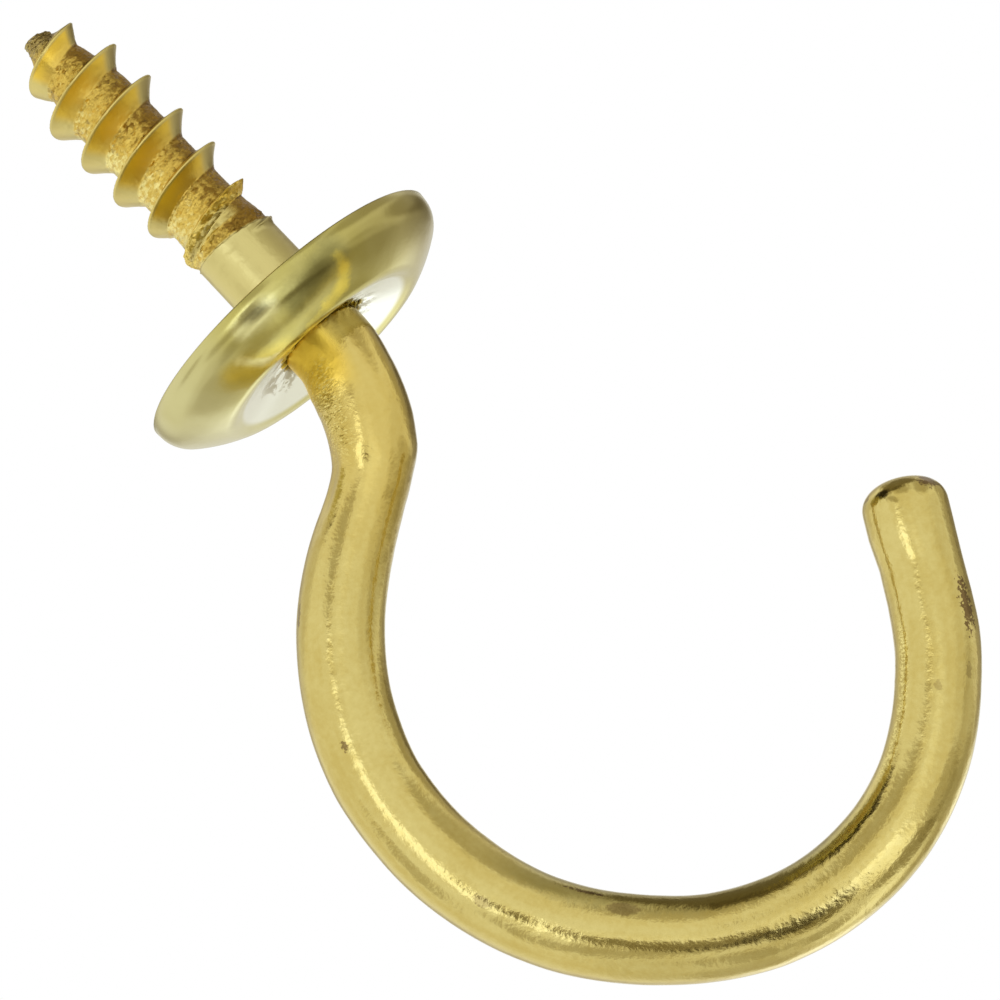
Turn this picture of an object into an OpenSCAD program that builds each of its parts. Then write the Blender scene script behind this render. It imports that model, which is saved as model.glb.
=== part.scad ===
// Brass cup hook: a wood screw and an open hook made from one length of wire, with a
// pressed sheet collar where the two meet.
//
// Z runs along the screw, up to its tip. The origin is on the screw's axis, in the plane
// where the collar's rim bears on the wood. The hook hangs below that plane, in the XZ
// plane, and its mouth opens towards +X.

/* [Wire] */
// Diameter of the wire, in the shank and all round the hook
wire_d = 3.4; // [2.6:0.1:4.2]

/* [Screw] */
// Length from the rim's plane to the tip
screw_len = 15.4; // [12:0.2:24]
// Length of plain shank from the rim's plane to the thread's run-out
shank_len = 3.9; // [2.6:0.1:6]
// Diameter over the thread's crests
thread_d = 4.5; // [4.2:0.1:6]
// Diameter of the core between the crests
root_d = 3; // [2:0.1:3.4]
// Distance from one crest to the next
pitch = 1.9; // [1.4:0.1:2.6]
// Width of the ridge where it meets the core
ridge_w = 0.9; // [0.5:0.05:1.1]
// Width of the flat on top of a crest
crest_w = 0.12; // [0.05:0.01:0.3]
// Length over which the core and the crests narrow to the tip
tip_len = 2.6; // [1.5:0.1:4]
// Diameter of the blunt tip
tip_d = 1.3; // [0.6:0.1:1.8]

/* [Neck] */
// Straight length of neck below the collar's dished middle
neck_len = 0.55; // [0.2:0.05:6]
// Radius of the neck's bend, at the middle of the wire
neck_r = 6.4; // [3:0.1:9]
// Angle that the neck turns away from the mouth
neck_turn = 64.5; // [30:0.5:80]

/* [Hook] */
// Radius of the bowl's back, at the middle of the wire
back_r = 12.4; // [8:0.1:20]
// Angle that the back turns
back_turn = 134; // [110:1:150]
// Radius of the bowl's front, at the middle of the wire
front_r = 10; // [7:0.1:16]
// Angle that the front turns
front_turn = 80; // [50:0.5:100]
// Length of the straight lip, with its rounded end
lip_len = 5.6; // [2:0.1:12]
// Radius that rounds the lip's end
end_round = 1.1; // [0.2:0.05:1.2]

/* [Collar] */
// Diameter of the rim that bears on the wood
rim_d = 14; // [12:0.2:18]
// Depth from the rim's plane to the crest
collar_h = 2.15; // [1.8:0.05:3]
// Diameter of the crest circle
crest_d = 9.1; // [7:0.1:10]
// Radius of the crest's outer face
crest_round = 0.6; // [0.55:0.05:1]
// Radius of the wall's outer face
wall_round = 4.3; // [3.5:0.1:8]
// Slope of the dished middle
dish_slope = 14; // [4:1:18]
// Thickness of the sheet
sheet_t = 0.4; // [0.25:0.05:0.5]
// Gap between the collar's hole and the wire
collar_gap = 0.02; // [0.01:0.01:0.1]

/* [Hidden] */
$fn = 64;
sweep_fn = 120;
wire_r = wire_d / 2;
root_r = root_d / 2;
tip_r = tip_d / 2;
crest_r = thread_d / 2;

// Collar section, as [radius, depth below the rim's plane]. The wall's arc passes through
// the rim and meets the crest's arc at a tangent, and the dish runs on from the crest.
rim_r = rim_d / 2;
hole_r = wire_r + collar_gap;
crest_mid = [crest_d / 2, collar_h - crest_round];
wall_mid = arc_centre([rim_r, 0], wall_round, crest_mid, wall_round - crest_round);
wall_end = angle_to(wall_mid, crest_mid);
dish_start = 90 + dish_slope;
hole_outer = dish_at_hole(0);
wall_steps = 12;
crest_steps = 6;

// The wire's route down from the rim's plane to the lip, as [radius, turn] for a bend and
// [length, 0] for a straight. A positive turn is towards the mouth.
ROUTE = [
    [hole_outer[1] + neck_len, 0],
    [neck_r, -neck_turn],
    [back_r, back_turn],
    [front_r, front_turn],
    [lip_len - end_round, 0],
];
spare_turn = 8;
draw_step = 0.005;      // each length of the route is this much thinner than the last

// The thread's ridge is a closed strip of rings. Its foot lies inside the core, and its
// crest rises out of the shank's end, is low at first and stops short at the blunt tip.
turn_steps = 20;
sink = 0.2;
waist_share = 0.4;      // how far up the hollow flank its narrow waist lies
runout_cone = 0.5;
runout_turn = 620;
runout_rise = 0.1;
thread_start = 142;     // where the run-out begins, counted from the mouth's side
lead_turn = 50;
tip_crest_r = 0.95;
tip_margin = 0.2;
ridge_bottom = shank_len + 0.15;
ridge_top = screw_len - ridge_w / 2 - tip_margin;
ridge_turn = 360 * (ridge_top - ridge_bottom) / pitch;
ridge_steps = ceil(ridge_turn * turn_steps / 360);

function heading(a) = [cos(a), sin(a)];
function angle_to(from, to) = atan2(to[1] - from[1], to[0] - from[0]);

// Points of an arc; inset draws it that much nearer to its centre
function arc(mid, r, from, to, steps, inset = 0) =
    [for (i = [0 : steps]) mid + (r - inset) * heading(from + (to - from) * i / steps)];

// Where the dish meets the hole, on the face that lies inset from the outer one
function dish_at_hole(inset) =
    let (p = crest_mid + (crest_round - inset) * heading(dish_start))
    [hole_r, p[1] - (p[0] - hole_r) * tan(dish_slope)];

// One face of the sheet, from the rim to the hole
function collar_face(inset) =
    let (rim_angle = asin(-wall_mid[1] / (wall_round - inset)))
    concat(
        arc(wall_mid, wall_round, rim_angle, wall_end, wall_steps, inset),
        arc(crest_mid, crest_round, wall_end, dish_start, crest_steps, inset),
        [dish_at_hole(inset)]
    );

// Centre that lies at distance ra from a and rb from b, towards the collar's middle
function arc_centre(a, ra, b, rb) =
    let (d = norm(b - a),
         u = (b - a) / d,
         along = (d * d + ra * ra - rb * rb) / (2 * d),
         across = sqrt(ra * ra - along * along))
    a + along * u + across * [-u[1], u[0]];

// Core and crest radius at a height on the screw
function narrowed(z, full, last) =
    full - (full - last) * max(0, (z - screw_len + tip_len) / tip_len);
function ridge_foot(z, crest) = min(narrowed(z, root_r, tip_r) - sink, crest - sink);
function ridge_crest(z, turned) =
    let (full = narrowed(z, crest_r, tip_crest_r),
         low = wire_r + runout_rise,
         lead = root_r - sink + (low - root_r + sink) * turned / lead_turn,
         rise = low + (crest_r - low) * turned / runout_turn)
    min(full, lead, rise);
function ridge_ring(i) =
    let (turned = min(i * 360 / turn_steps, ridge_turn),
         z = ridge_bottom + turned * pitch / 360,
         crest = ridge_crest(z, turned),
         foot = ridge_foot(z, crest),
         waist = foot + waist_share * (crest - foot))
    [for (p = [[foot, -ridge_w / 2], [waist, -ridge_w / 4], [crest, -crest_w / 2],
               [crest, crest_w / 2], [waist, ridge_w / 4], [foot, ridge_w / 2]])
        [p[0] * cos(thread_start + turned), p[0] * sin(thread_start + turned), z + p[1]]];

// Moves its children from the start of one piece of the route to its end
module onwards(piece) {
    if (piece[1] == 0)
        translate([piece[0], 0, 0]) children();
    else
        translate([0, sign(piece[1]) * piece[0], 0])
            rotate(piece[1])
                translate([0, -sign(piece[1]) * piece[0], 0]) children();
}

// Straight or bent length of wire that starts at the origin along +X. A bend is swept a
// little too far and cut off square where the next piece starts, so both meet exactly.
module wire(piece, r) {
    if (piece[1] == 0)
        rotate([0, 90, 0]) rotate(180) cylinder(h = piece[0], r = r);
    else
        difference() {
            mirror([0, piece[1] < 0 ? 1 : 0, 0])
                translate([0, piece[0], 0])
                    rotate(-90)
                        rotate_extrude(angle = abs(piece[1]) + spare_turn, $fn = sweep_fn)
                            translate([piece[0], 0]) rotate(90) circle(r = r);
            onwards(piece)
                translate([0, -wire_d, -wire_d]) cube(2 * wire_d);
        }
}

// The route from one of its pieces to the lip
module route(i) {
    r = wire_r - i * draw_step;
    if (i < len(ROUTE)) {
        wire(ROUTE[i], r);
        onwards(ROUTE[i]) route(i + 1);
    }
    else
        rounded_end(r);
}

module rounded_end(r) {
    rotate([0, 90, 0]) rotate(180) rotate_extrude() {
        square([r - end_round, end_round]);
        intersection() {
            translate([r - end_round, 0]) circle(r = end_round);
            square([r, end_round]);
        }
    }
}

// Everything below the shank, laid out in the XY plane and stood up into XZ
module bent_wire() {
    rotate([90, 0, 0]) rotate(-90) route(0);
}

module screw_core() {
    rotate(-90) rotate_extrude() polygon([
        [0, 0],
        [wire_r, 0],
        [wire_r, shank_len],
        [root_r, shank_len + runout_cone],
        [root_r, screw_len - tip_len],
        [tip_r, screw_len],
        [0, screw_len],
    ]);
}

module thread_ridge() {
    rings = [for (i = [0 : ridge_steps]) ridge_ring(i)];
    n = len(rings[0]);
    last = ridge_steps * n;
    polyhedron(
        points = [for (ring = rings) each ring],
        faces = [
            [5, 4, 1, 0], [4, 3, 2, 1],
            for (i = [0 : ridge_steps - 1], j = [0 : n - 1])
                let (k = (j + 1) % n, a = i * n, b = a + n)
                each [[a + j, a + k, b + k], [a + j, b + k, b + j]],
            [for (j = [0, 1, 4, 5]) last + j], [for (j = [1, 2, 3, 4]) last + j],
        ]
    );
}

module hook() {
    color("goldenrod") {
        screw_core();
        thread_ridge();
        bent_wire();
    }
}

module collar() {
    outer = collar_face(0);
    inner = collar_face(sheet_t);
    color("darkkhaki")
        mirror([0, 0, 1])
            rotate_extrude($fn = sweep_fn)
                polygon([each outer, for (i = [len(inner) - 1 : -1 : 0]) inner[i]]);
}

hook();
collar();
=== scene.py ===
"""Brass cup hook: a threaded and bent wire with a pressed collar, shown in a plain studio.

Sizes are in metres. A name that ends in _MM or _mm is in millimetres, as are all numbers
inside a material. The wire is made straight, screw upwards, with its thread and its dents,
and then laid along its route.
"""

import math

import bpy
from bpy.props import FloatProperty, FloatVectorProperty, IntProperty, PointerProperty
from mathutils import Matrix, Vector


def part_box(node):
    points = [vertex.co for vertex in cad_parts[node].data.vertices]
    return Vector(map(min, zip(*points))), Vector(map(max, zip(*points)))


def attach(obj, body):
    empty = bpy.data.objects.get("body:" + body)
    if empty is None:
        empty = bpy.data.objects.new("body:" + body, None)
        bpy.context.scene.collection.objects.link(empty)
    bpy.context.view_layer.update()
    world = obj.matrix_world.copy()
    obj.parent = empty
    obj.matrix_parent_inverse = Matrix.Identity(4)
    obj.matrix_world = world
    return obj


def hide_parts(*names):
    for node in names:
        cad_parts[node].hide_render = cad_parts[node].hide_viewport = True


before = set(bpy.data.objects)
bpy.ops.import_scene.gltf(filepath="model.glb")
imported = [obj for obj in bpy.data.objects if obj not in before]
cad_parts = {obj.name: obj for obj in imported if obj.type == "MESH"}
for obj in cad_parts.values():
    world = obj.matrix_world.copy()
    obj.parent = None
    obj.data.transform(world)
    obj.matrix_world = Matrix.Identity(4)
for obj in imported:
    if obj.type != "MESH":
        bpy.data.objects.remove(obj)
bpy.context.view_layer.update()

bl_info = {
    "name": "Brass Cup Hook",
    "version": (1, 0, 0),
    "blender": (4, 5, 0),
    "location": "3D View > Sidebar > Cup Hook",
    "description": "Makes a brass cup hook with its collar, and a studio to show it in",
    "category": "Object",
}

MM = 0.001
SCREW_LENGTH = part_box("hook")[1].z
COLLAR_DEPTH = -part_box("collar")[0].z
RIM_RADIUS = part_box("collar")[1].x
WIRE_RADIUS_MM = 1.7

# The wire's route below the rim, as radius and turn of a bend, or length and no turn
ROUTE_MM = [(2.013, 0), (6.4, -64.5), (12.4, 134), (10.0, 80), (5.6, 0)]

# The wire's width and its drift towards the mouth, at distances below the rim
GAUGE_MM = [
    (-4.0, 3.46, 0.0), (2.6, 3.50, -0.02), (3.6, 3.58, -0.12), (4.6, 3.59, -0.11),
    (5.6, 3.55, -0.04), (6.6, 3.45, 0.01), (7.6, 3.21, 0.0), (8.6, 3.14, -0.03),
    (9.6, 3.20, 0.05), (10.6, 3.31, 0.08), (12.0, 3.40, 0.07), (14.0, 3.48, 0.02),
    (18.0, 3.52, -0.04), (20.0, 3.49, -0.06), (22.6, 3.48, 0.0), (25.0, 3.53, 0.04),
    (28.0, 3.49, 0.06), (32.0, 3.48, 0.11), (33.6, 3.45, 0.09), (35.6, 3.41, -0.01),
    (37.6, 3.45, -0.07), (40.0, 3.40, -0.07), (43.6, 3.39, -0.06), (45.6, 3.35, -0.02),
    (47.6, 3.37, 0.03), (49.6, 3.35, 0.05), (51.6, 3.37, -0.03), (53.0, 3.31, -0.08),
    (54.4, 3.26, -0.06), (55.6, 3.38, 0.0), (57.8, 3.38, 0.0),
]

# The screw's core radius, the reach of its crests and its drift, at heights above the rim
SCREW_MM = [
    (3.05, 1.73, 1.73, 0.0), (3.10, 1.66, 1.80, 0.0), (4.05, 1.65, 1.86, 0.0),
    (4.50, 1.57, 1.92, 0.0), (5.20, 1.51, 2.04, 0.0), (6.26, 1.50, 2.12, 0.0),
    (7.10, 1.49, 2.25, 0.0), (11.5, 1.48, 2.24, 0.0), (12.3, 1.38, 2.20, 0.0),
    (13.1, 1.18, 2.05, 0.0), (13.5, 1.11, 1.80, 0.0), (13.9, 0.99, 1.62, 0.0),
    (14.4, 0.89, 1.53, 0.0), (14.75, 0.74, 1.42, 0.0), (14.92, 0.62, 1.05, -0.03),
    (15.02, 0.58, 0.62, -0.06), (15.2, 0.50, 0.50, -0.10), (15.32, 0.36, 0.36, -0.20),
    (15.38, 0.20, 0.20, -0.25), (15.4, 0.02, 0.02, -0.25),
]

# Heights between which the thread grows from a blunt run-out to its full, hollow flanks, and
# the share of a flank's slope that is cut flat at the crest
RUNOUT_MM = (4.8, 6.4)
CREST_FLAT = 0.06

# Where the plain shank ends above the rim, and how much lower that is on the mouth's side
SHOULDER_MM = 3.52
SHOULDER_LEAN_MM = 0.17

# The lip's domed end: the power of its round outline, the least value whose root is taken,
# which keeps the last ring open, and degrees of dome to a ring
DOME_POWER = 2.2
DOME_LEAST = 0.0004
DOME_STEP = 5

# Marks of the bending tools: turn round the wire from the mouth's side, distance below the
# rim, half width, half length and depth, which is below zero for a raised place
DENTS_MM = [
    (-150, 8.7, 0.60, 1.90, 0.15), (-118, 6.9, 0.55, 0.55, -0.05), (-8, 6.8, 0.9, 0.5, -0.05),
    (-95, 3.9, 0.7, 1.1, 0.05), (-62, 27.0, 0.8, 1.4, 0.035), (-110, 28.6, 0.7, 1.2, 0.04),
    (-128, 42.0, 0.7, 2.2, 0.05), (-70, 47.0, 0.8, 1.6, 0.03), (-60, 54.2, 0.8, 0.9, 0.03),
]

# The collar: faces round it, rows down its dish, where its edge, shoulder and wall face at
# their ends, and the bevel at its rim as a share of the sheet
COLLAR_SIDES = 216
DISH_ROWS = 8
RIM_FACING = math.radians(4)
SHOULDER_FACING = math.radians(52)
WALL_FACING = math.radians(66)
RIM_BEVEL = 0.14

# How far the rim sits off the wire's axis, and the dish on the other side of it
COLLAR_DRIFT_MM = 0.35
DISH_DRIFT_MM = 0.08

# The burr that the punch left round the collar's hole, how far from the hole it shows, and
# the slow wave of the whole sheet
BURR_MM = 0.05
BURR_REACH_MM = 0.9
WAVE_MM = 0.035

# Halfway through the dished sheet: depth on the axis, and fall for each millimetre outwards
DISH_DEPTH_MM = 0.827
DISH_FALL = 0.249


# ---------------------------------------------------------------- node arithmetic

class Signal:
    """A socket that carries a number. Arithmetic on it adds Math nodes to its tree."""

    def __init__(self, wiring, socket):
        self.wiring = wiring
        self.socket = socket

    def math(self, operation, *values):
        return self.wiring.math(operation, self, *values)

    def __add__(self, other):
        return self.wiring.math("ADD", self, other)

    def __radd__(self, other):
        return self.wiring.math("ADD", other, self)

    def __sub__(self, other):
        return self.wiring.math("SUBTRACT", self, other)

    def __rsub__(self, other):
        return self.wiring.math("SUBTRACT", other, self)

    def __mul__(self, other):
        return self.wiring.math("MULTIPLY", self, other)

    def __rmul__(self, other):
        return self.wiring.math("MULTIPLY", other, self)

    def __truediv__(self, other):
        return self.wiring.math("DIVIDE", self, other)

    def __rtruediv__(self, other):
        return self.wiring.math("DIVIDE", other, self)

    def __pow__(self, other):
        return self.wiring.math("POWER", self, other)

    def __neg__(self):
        return self.wiring.math("MULTIPLY", self, -1.0)

    def step(self, low, high):
        """0 below low, 1 above high, and smooth between. high may be the lower one."""
        return self.wiring.signal(
            "ShaderNodeMapRange",
            {"interpolation_type": "SMOOTHSTEP"},
            {"Value": self, "From Min": low, "From Max": high},
        )


class Wiring:
    """Adds nodes to one tree, of a material, the world or a modifier."""

    def __init__(self, tree):
        self.tree = tree
        tree.nodes.clear()

    def node(self, kind, settings=None, inputs=None):
        """A node with its settings first and then its sockets' values or links."""
        made = self.tree.nodes.new(kind)
        for name, value in (settings or {}).items():
            setattr(made, name, value)
        for key, value in (inputs or {}).items():
            if isinstance(value, Signal):
                value = value.socket
            if isinstance(value, bpy.types.NodeSocket):
                self.tree.links.new(value, made.inputs[key])
            else:
                made.inputs[key].default_value = value
        return made

    def signal(self, kind, settings=None, inputs=None, output=0):
        return Signal(self, self.node(kind, settings, inputs).outputs[output])

    def math(self, operation, *values):
        settings = {"operation": operation}
        return self.signal("ShaderNodeMath", settings, dict(enumerate(values)))

    def vector(self, operation, *values):
        """A vector from Vector Math. SCALE takes a vector and a number."""
        keys = (0, 3) if operation == "SCALE" else range(len(values))
        settings = {"operation": operation}
        return self.node("ShaderNodeVectorMath", settings, dict(zip(keys, values))).outputs[0]

    def length(self, vector):
        return self.signal("ShaderNodeVectorMath", {"operation": "LENGTH"}, {0: vector}, 1)

    def split(self, vector):
        made = self.node("ShaderNodeSeparateXYZ", None, {0: vector})
        return [Signal(self, socket) for socket in made.outputs]

    def join(self, x, y, z):
        return self.node("ShaderNodeCombineXYZ", None, {0: x, 1: y, 2: z}).outputs[0]

    def noise(self, vector, scale, detail=2.0, roughness=0.5, seed=0.0):
        return self.signal(
            "ShaderNodeTexNoise",
            {"noise_dimensions": "4D"},
            {"Vector": vector, "W": seed, "Scale": scale, "Detail": detail,
             "Roughness": roughness},
        )

    def gap(self, vector, first, second):
        """How far a place lies from the line between two others."""
        chord = Vector(second) - Vector(first)
        apart = self.vector("SUBTRACT", vector, first)
        share = self.signal(
            "ShaderNodeVectorMath", {"operation": "DOT_PRODUCT"}, {0: apart, 1: tuple(chord)}, 1)
        share = (share / chord.length_squared).math("MAXIMUM", 0.0).math("MINIMUM", 1.0)
        nearest = self.vector("SCALE", tuple(chord), share)
        return self.length(self.vector("SUBTRACT", apart, nearest))

    def facets(self, vector, scale):
        """Flat facets that tilt at random: their relief, and a number for each from 0 to 1."""
        warp = self.node(
            "ShaderNodeTexNoise", None, {"Vector": vector, "Scale": scale * 0.8, "Detail": 1.0})
        warp = self.vector("SUBTRACT", warp.outputs["Color"], (0.5, 0.5, 0.5))
        vector = self.vector("ADD", vector, self.vector("SCALE", warp, 1.1 / scale))
        cells = self.node("ShaderNodeTexVoronoi", None, {"Vector": vector, "Scale": scale})
        apart = self.vector("SUBTRACT", vector, cells.outputs["Position"])
        tilt = self.vector("SUBTRACT", cells.outputs["Color"], (0.5, 0.5, 0.5))
        relief = self.signal(
            "ShaderNodeVectorMath", {"operation": "DOT_PRODUCT"}, {0: apart, 1: tilt}, 1)
        return relief, self.split(cells.outputs["Color"])[0]

    def blend(self, factor, first, second, way="MIX"):
        """A colour that goes from first to second."""
        settings = {"data_type": "RGBA", "blend_type": way, "clamp_factor": True}
        return self.node("ShaderNodeMix", settings, {0: factor, 6: first, 7: second}).outputs[2]


def rgba(colour):
    return (colour[0], colour[1], colour[2], 1.0)


# ---------------------------------------------------------------- sizes and colours

class WireSizes(bpy.types.PropertyGroup):
    """Sizes of the wire and of the thread on it"""

    sides: IntProperty(
        name="Sides", description="Faces round the wire", default=144, min=24, max=256)
    thread_row: FloatProperty(
        name="Thread Row", description="Length of a row of faces along the thread",
        default=0.034 * MM, min=0.01 * MM, max=0.5 * MM, unit="LENGTH", precision=6)
    hook_row: FloatProperty(
        name="Hook Row", description="Length of a row of faces round the hook",
        default=0.24 * MM, min=0.05 * MM, max=2 * MM, unit="LENGTH", precision=6)
    pitch: FloatProperty(
        name="Pitch", description="Distance from one crest to the next",
        default=1.9 * MM, min=0.5 * MM, max=5 * MM, unit="LENGTH", precision=5)
    crest_height: FloatProperty(
        name="Crest Height", description="Height above the rim of a crest on the mouth's side",
        default=10.93 * MM, min=0.0, max=50 * MM, unit="LENGTH", precision=5)
    tip_flank: FloatProperty(
        name="Tip Flank", description="Length of the flank that faces the tip",
        default=0.24 * MM, min=0.05 * MM, max=2 * MM, unit="LENGTH", precision=5)
    head_flank: FloatProperty(
        name="Head Flank", description="Length of the flank that faces the collar",
        default=0.80 * MM, min=0.05 * MM, max=2 * MM, unit="LENGTH", precision=5)
    dents: FloatProperty(
        name="Dents", description="Depth of the unevenness from drawing and bending",
        default=0.05 * MM, min=0.0, max=0.5 * MM, unit="LENGTH", precision=6)
    end_round: FloatProperty(
        name="End Round", description="Length of the domed end of the lip",
        default=1.2 * MM, min=0.1 * MM, max=1.7 * MM, unit="LENGTH", precision=5)
    seed: IntProperty(
        name="Seed", description="Pattern of the dents and burrs", default=7, min=0)


class CollarSizes(bpy.types.PropertyGroup):
    """Sizes of the pressed collar"""

    sheet: FloatProperty(
        name="Sheet", description="Thickness of the sheet",
        default=0.4 * MM, min=0.1 * MM, max=1 * MM, unit="LENGTH", precision=5)
    rim_height: FloatProperty(
        name="Rim Height", description="Height of the upright edge at the rim",
        default=0.3 * MM, min=0.1 * MM, max=1 * MM, unit="LENGTH", precision=5)
    shoulder_round: FloatProperty(
        name="Shoulder Round", description="Radius of the bend below the upright edge",
        default=1.25 * MM, min=0.5 * MM, max=2 * MM, unit="LENGTH", precision=5)
    wall_round: FloatProperty(
        name="Wall Round", description="Radius of the domed wall",
        default=6.9 * MM, min=3 * MM, max=20 * MM, unit="LENGTH", precision=5)
    crest_round: FloatProperty(
        name="Crest Round", description="Radius of the crest's bend",
        default=1 * MM, min=0.45 * MM, max=2 * MM, unit="LENGTH", precision=5)
    dish_slope: FloatProperty(
        name="Dish Slope", description="Slope of the dished middle",
        default=math.radians(14), min=0.0, max=math.radians(40), subtype="ANGLE")
    hole_radius: FloatProperty(
        name="Hole Radius", description="Radius of the hole round the wire",
        default=1.86 * MM, min=1.75 * MM, max=4 * MM, unit="LENGTH", precision=5)
    lean: FloatProperty(
        name="Lean", description="Angle by which the collar sits askew on the wire",
        default=math.radians(1.4), min=0.0, max=math.radians(10), subtype="ANGLE")
    drift: FloatProperty(
        name="Drift", description="How far the collar sits off the wire's axis",
        default=COLLAR_DRIFT_MM * MM, min=0.0, max=1 * MM, unit="LENGTH", precision=5)


class Finishes(bpy.types.PropertyGroup):
    """Colours of the brass and of the studio"""

    brass: FloatVectorProperty(
        name="Brass", description="Bright drawn wire",
        default=(0.67, 0.56, 0.20), min=0.0, max=1.0, subtype="COLOR")
    gold: FloatVectorProperty(
        name="Gold", description="Freshly cut brass in the thread",
        default=(0.72, 0.51, 0.10), min=0.0, max=1.0, subtype="COLOR")
    shank: FloatVectorProperty(
        name="Shank", description="Paler wire between the thread and the collar",
        default=(0.66, 0.57, 0.22), min=0.0, max=1.0, subtype="COLOR")
    flank: FloatVectorProperty(
        name="Flank", description="Smooth flanks of the thread",
        default=(0.92, 0.64, 0.08), min=0.0, max=1.0, subtype="COLOR")
    # Dark specks and stains in the roots, and painted shade on the roots' side towards the mouth
    pit: FloatVectorProperty(
        name="Pit", description="Dark specks in the roots of the thread",
        default=(0.28, 0.16, 0.025), min=0.0, max=1.0, subtype="COLOR")
    # Painted glints: in the roots, up the inside of the lip and on the back of the neck
    painted_glint: FloatVectorProperty(
        name="Glint", description="Bright specks in the roots of the thread",
        default=(0.96, 0.84, 0.32), min=0.0, max=1.0, subtype="COLOR")
    stain: FloatVectorProperty(
        name="Stain", description="Brown stain and old oil",
        default=(0.15, 0.085, 0.03), min=0.0, max=1.0, subtype="COLOR")
    # Painted shade on the mouth's side of the shank, flanks, neck and collar; also the colour of
    # old oil round the collar's hole
    painted_shade_and_oil: FloatVectorProperty(
        name="Shade", description="Dull brass in the lee of the bends",
        default=(0.34, 0.27, 0.11), min=0.0, max=1.0, subtype="COLOR")
    # Painted dark reflection, dark green: along the inside of the bowl and as a dark patch on the
    # collar's wall
    painted_dark_reflection: FloatVectorProperty(
        name="Tarnish", description="Dark green tarnish",
        default=(0.16, 0.14, 0.04), min=0.0, max=1.0, subtype="COLOR")
    # Painted whitish reflection on the collar's dish and on its side away from the mouth
    painted_silvery_reflection: FloatVectorProperty(
        name="Silvery", description="Polished middle of the collar",
        default=(0.76, 0.75, 0.58), min=0.0, max=1.0, subtype="COLOR")
    # Painted golden highlight along the collar's crest and beside the neck
    painted_gold_highlight: FloatVectorProperty(
        name="Honey", description="Golden sheen beside the neck",
        default=(1.0, 0.82, 0.15), min=0.0, max=1.0, subtype="COLOR")
    # Painted pale highlight along the collar's crest
    painted_pale_highlight: FloatVectorProperty(
        name="Rubbed", description="Rubbed crest of the collar",
        default=(0.99, 0.94, 0.48), min=0.0, max=1.0, subtype="COLOR")
    sheet: FloatVectorProperty(
        name="Sheet", description="Bright pressed sheet",
        default=(0.57, 0.51, 0.17), min=0.0, max=1.0, subtype="COLOR")
    floor: FloatVectorProperty(
        name="Floor", description="Studio floor",
        default=(0.86, 0.86, 0.86), min=0.0, max=1.0, subtype="COLOR")


# ---------------------------------------------------------------- shapes

def mix_rows(rows, at):
    """Values of a table at a place, on straight lines between its rows."""
    if at <= rows[0][0]:
        return rows[0][1:]
    for low, high in zip(rows, rows[1:]):
        if at <= high[0]:
            share = (at - low[0]) / (high[0] - low[0])
            return tuple(a + (b - a) * share for a, b in zip(low[1:], high[1:]))
    return rows[-1][1:]


def route_length_mm():
    return sum(size if turn == 0 else size * math.radians(abs(turn)) for size, turn in ROUTE_MM)


def evenly(start, stop, row):
    count = max(1, round(abs(stop - start) / row))
    return [start + (stop - start) * i / count for i in range(count)]


def wire_stations(sizes):
    """Rows of the straight wire, as height, core radius, crest reach and drift in metres."""
    end = -route_length_mm() * MM
    dome_top = end + sizes.end_round
    screw_foot = SCREW_MM[0][0] * MM
    heights = evenly(SCREW_LENGTH, screw_foot, sizes.thread_row)
    heights += evenly(screw_foot, dome_top, sizes.hook_row)
    dome_turns = [math.radians(degrees) for degrees in range(0, 91, DOME_STEP)]
    heights += [dome_top - sizes.end_round * math.sin(turn) for turn in dome_turns]
    rows = []
    for height in heights:
        at = height / MM
        if at > SCREW_MM[0][0]:
            core, reach, drift = mix_rows(SCREW_MM, at)
        else:
            width, drift = mix_rows(GAUGE_MM, -at)
            core = reach = width / 2
        if height < dome_top:
            share = (dome_top - height) / sizes.end_round
            core *= max(DOME_LEAST, 1 - share ** DOME_POWER) ** (1 / DOME_POWER)
            reach = core
        rows.append((height, core * MM, reach * MM, drift * MM))
    return rows


def line_object(name, rows):
    """A line of points up the Z axis that carries the stations' sizes as attributes."""
    mesh = bpy.data.meshes.new(name)
    edges = [(i, i + 1) for i in range(len(rows) - 1)]
    mesh.from_pydata([(0.0, 0.0, row[0]) for row in rows], edges, [])
    for column, size in enumerate(("core", "reach", "drift"), start=1):
        layer = mesh.attributes.new(size, "FLOAT", "POINT")
        layer.data.foreach_set("value", [row[column] for row in rows])
    made = bpy.data.objects.new(name, mesh)
    bpy.context.scene.collection.objects.link(made)
    return made


def named(wiring, name):
    return wiring.signal("GeometryNodeInputNamedAttribute", {"data_type": "FLOAT"}, {0: name})


def named_vector(wiring, name):
    settings = {"data_type": "FLOAT_VECTOR"}
    return wiring.node("GeometryNodeInputNamedAttribute", settings, {0: name}).outputs[0]


def stored(wiring, geometry, name, kind, value):
    """The geometry, with a value at each point kept under a name."""
    return wiring.signal(
        "GeometryNodeStoreNamedAttribute", {"data_type": kind, "domain": "POINT"},
        {"Geometry": geometry, "Name": name, "Value": value})


def add_input(tree, name, kind, default=None):
    made = tree.interface.new_socket(name=name, in_out="INPUT", socket_type=kind)
    if default is not None:
        made.default_value = default
    return made.identifier


def thread_height(wiring, given, height, turn, core, reach):
    """Radius of the thread at a height and a turn, and how far up its flank that is.

    The flank is a straight slope whose top is cut flat, raised to a power to hollow it.
    """
    along = (height - given["Crest Height"]) / given["Pitch"] - turn + 0.5
    off_crest = (along.math("FRACT") - 0.5) * given["Pitch"]
    to_tip = off_crest / given["Tip Flank"]
    to_head = -off_crest / given["Head Flank"]
    away = wiring.math("MAXIMUM", to_tip, to_head)
    full = (height / MM).step(*RUNOUT_MM)
    slope = 1 + CREST_FLAT - away * (1.9 - full * 0.9)
    rise = slope.math("MAXIMUM", 0.0).math("MINIMUM", 1.0) ** (0.7 + full * 0.55)
    return core + (reach - core) * rise, rise


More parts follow.
